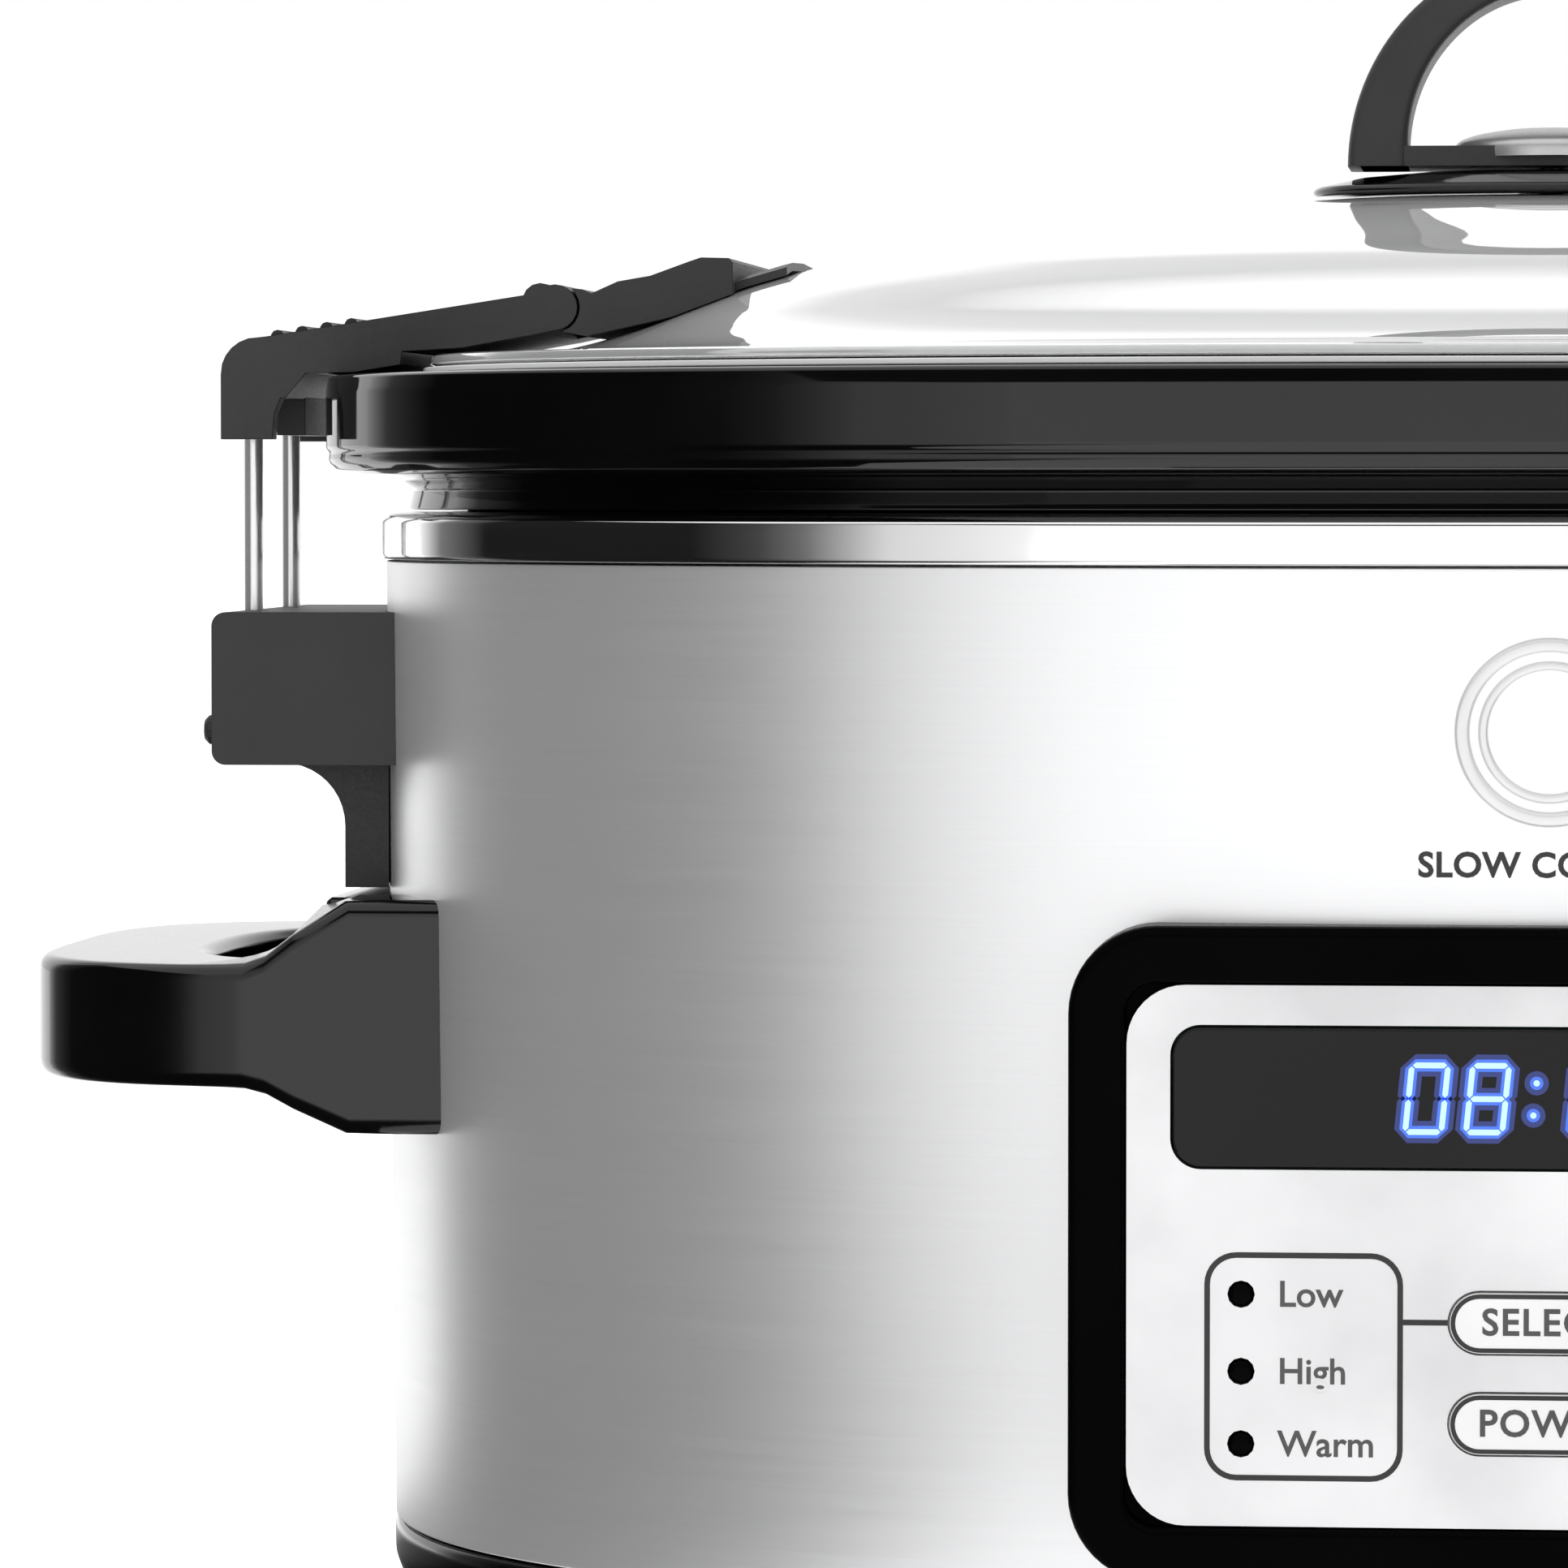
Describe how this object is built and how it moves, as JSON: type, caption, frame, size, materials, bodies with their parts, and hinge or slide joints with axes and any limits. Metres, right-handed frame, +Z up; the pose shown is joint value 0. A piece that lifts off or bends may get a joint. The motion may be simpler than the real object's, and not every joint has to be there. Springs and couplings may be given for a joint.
{
  "type": "slow cooker",
  "caption": "Oval programmable slow cooker with a stoneware crock, a glass lid held by wire-bail latches, carrying handles and a front control panel.",
  "frame": {"origin": "on the floor under the middle of the cooker", "axes": "+X to the right along the long way, front at -Y, +Z up"},
  "size_m": [0.4384, 0.276, 0.2462],
  "materials": {
    "brushed_steel": "brushed",
    "polished_steel": "polished",
    "wire_steel": "polished",
    "gloss_black": "gloss",
    "satin_black": "satin",
    "rubber_black": "matte",
    "pale_silicone": "satin",
    "stoneware": "gloss glaze",
    "clear_glass": "clear",
    "silver_plate": "satin silver",
    "silver_button": "satin",
    "dark_window": "gloss",
    "mica": "matte",
    "wool": "felted",
    "aluminium": "satin",
    "board_green": "satin"
  },
  "bodies": {
    "housing": {"outer_shell": "brushed_steel", "top_ring": "polished_steel", "base_pan": "gloss_black", "foot_1": "rubber_black", "foot_2": "rubber_black", "foot_3": "rubber_black", "foot_4": "rubber_black", "foot_screw_1": "wire_steel", "foot_screw_2": "wire_steel", "foot_screw_3": "wire_steel", "foot_screw_4": "wire_steel", "cord_gland": "rubber_black", "heating_well": "aluminium", "heater_band": "mica", "insulation_wrap": "wool", "temperature_sensor": "aluminium", "thermal_fuse": "aluminium", "crock": "stoneware", "panel_bezel": "gloss_black", "panel_plate": "silver_plate", "display_window": "dark_window", "display_module": "satin_black", "low_led": "dark_window", "high_led": "dark_window", "warm_led": "dark_window", "control_board": "board_green", "power_board": "board_green", "right_handle": "gloss_black", "right_handle_screw_1": "wire_steel", "right_handle_screw_2": "wire_steel", "right_latch_bracket": "satin_black", "right_bracket_screw": "satin_black", "left_handle": "gloss_black", "left_handle_screw_1": "wire_steel", "left_handle_screw_2": "wire_steel", "left_latch_bracket": "satin_black", "left_bracket_screw": "satin_black"},
    "lid": {"lid_glass": "clear_glass", "lid_gasket": "pale_silicone", "lid_handle_disc": "gloss_black", "lid_handle_washer": "rubber_black", "lid_handle_screw": "wire_steel", "lid_handle": "satin_black"},
    "right_bail_wire": {"right_bail": "wire_steel"},
    "right_arm": {"right_latch_arm": "satin_black", "right_hinge_pin": "wire_steel"},
    "right_tip": {"right_latch_tip": "satin_black"},
    "left_bail_wire": {"left_bail": "wire_steel"},
    "left_arm": {"left_latch_arm": "satin_black", "left_hinge_pin": "wire_steel"},
    "left_tip": {"left_latch_tip": "satin_black"},
    "select_key": {"select_button": "silver_button"},
    "power_key": {"power_button": "silver_button"},
    "time_up_key": {"time_up_button": "silver_button"},
    "time_down_key": {"time_down_button": "silver_button"}
  },
  "joints": [
    {"name": "lid_lift", "type": "slide", "parent": "housing", "child": "lid", "axis": [0, 0, 1], "range_m": [0, 0.11]},
    {"name": "right_bail_swing", "type": "hinge", "parent": "housing", "child": "right_bail_wire", "pos_m": [0.1883, 0, 0.134], "axis": [0, 1, 0], "range_deg": [0, 101]},
    {"name": "right_arm_flip", "type": "hinge", "parent": "right_bail_wire", "child": "right_arm", "pos_m": [0.1883, 0, 0.185], "axis": [0, 1, 0], "range_deg": [0, 151]},
    {"name": "right_tip_pivot", "type": "hinge", "parent": "right_arm", "child": "right_tip", "pos_m": [0.1425, 0, 0.1946], "axis": [0, 1, 0], "range_deg": [0, 25]},
    {"name": "left_bail_swing", "type": "hinge", "parent": "housing", "child": "left_bail_wire", "pos_m": [-0.1883, 0, 0.134], "axis": [0, -1, 0], "range_deg": [0, 101]},
    {"name": "left_arm_flip", "type": "hinge", "parent": "left_bail_wire", "child": "left_arm", "pos_m": [-0.1883, 0, 0.185], "axis": [0, -1, 0], "range_deg": [0, 151]},
    {"name": "left_tip_pivot", "type": "hinge", "parent": "left_arm", "child": "left_tip", "pos_m": [-0.1425, 0, 0.1946], "axis": [0, -1, 0], "range_deg": [0, 25]},
    {"name": "select_press", "type": "slide", "parent": "housing", "child": "select_key", "axis": [0, 1, 0], "range_m": [0, 0.0007], "stiffness_N_per_m": 1500},
    {"name": "power_press", "type": "slide", "parent": "housing", "child": "power_key", "axis": [0, 1, 0], "range_m": [0, 0.0007], "stiffness_N_per_m": 1500},
    {"name": "time_up_press", "type": "slide", "parent": "housing", "child": "time_up_key", "axis": [0, 1, 0], "range_m": [0, 0.0007], "stiffness_N_per_m": 1500},
    {"name": "time_down_press", "type": "slide", "parent": "housing", "child": "time_down_key", "axis": [0, 1, 0], "range_m": [0, 0.0007], "stiffness_N_per_m": 1500}
  ],
  "couplings": [
    {"joint": "right_bail_swing", "follows": "lid_lift", "rad_per_m": 15.87},
    {"joint": "right_arm_flip", "follows": "lid_lift", "rad_per_m": 23.8},
    {"joint": "left_bail_swing", "follows": "lid_lift", "rad_per_m": 15.87},
    {"joint": "left_arm_flip", "follows": "lid_lift", "rad_per_m": 23.8}
  ]
}
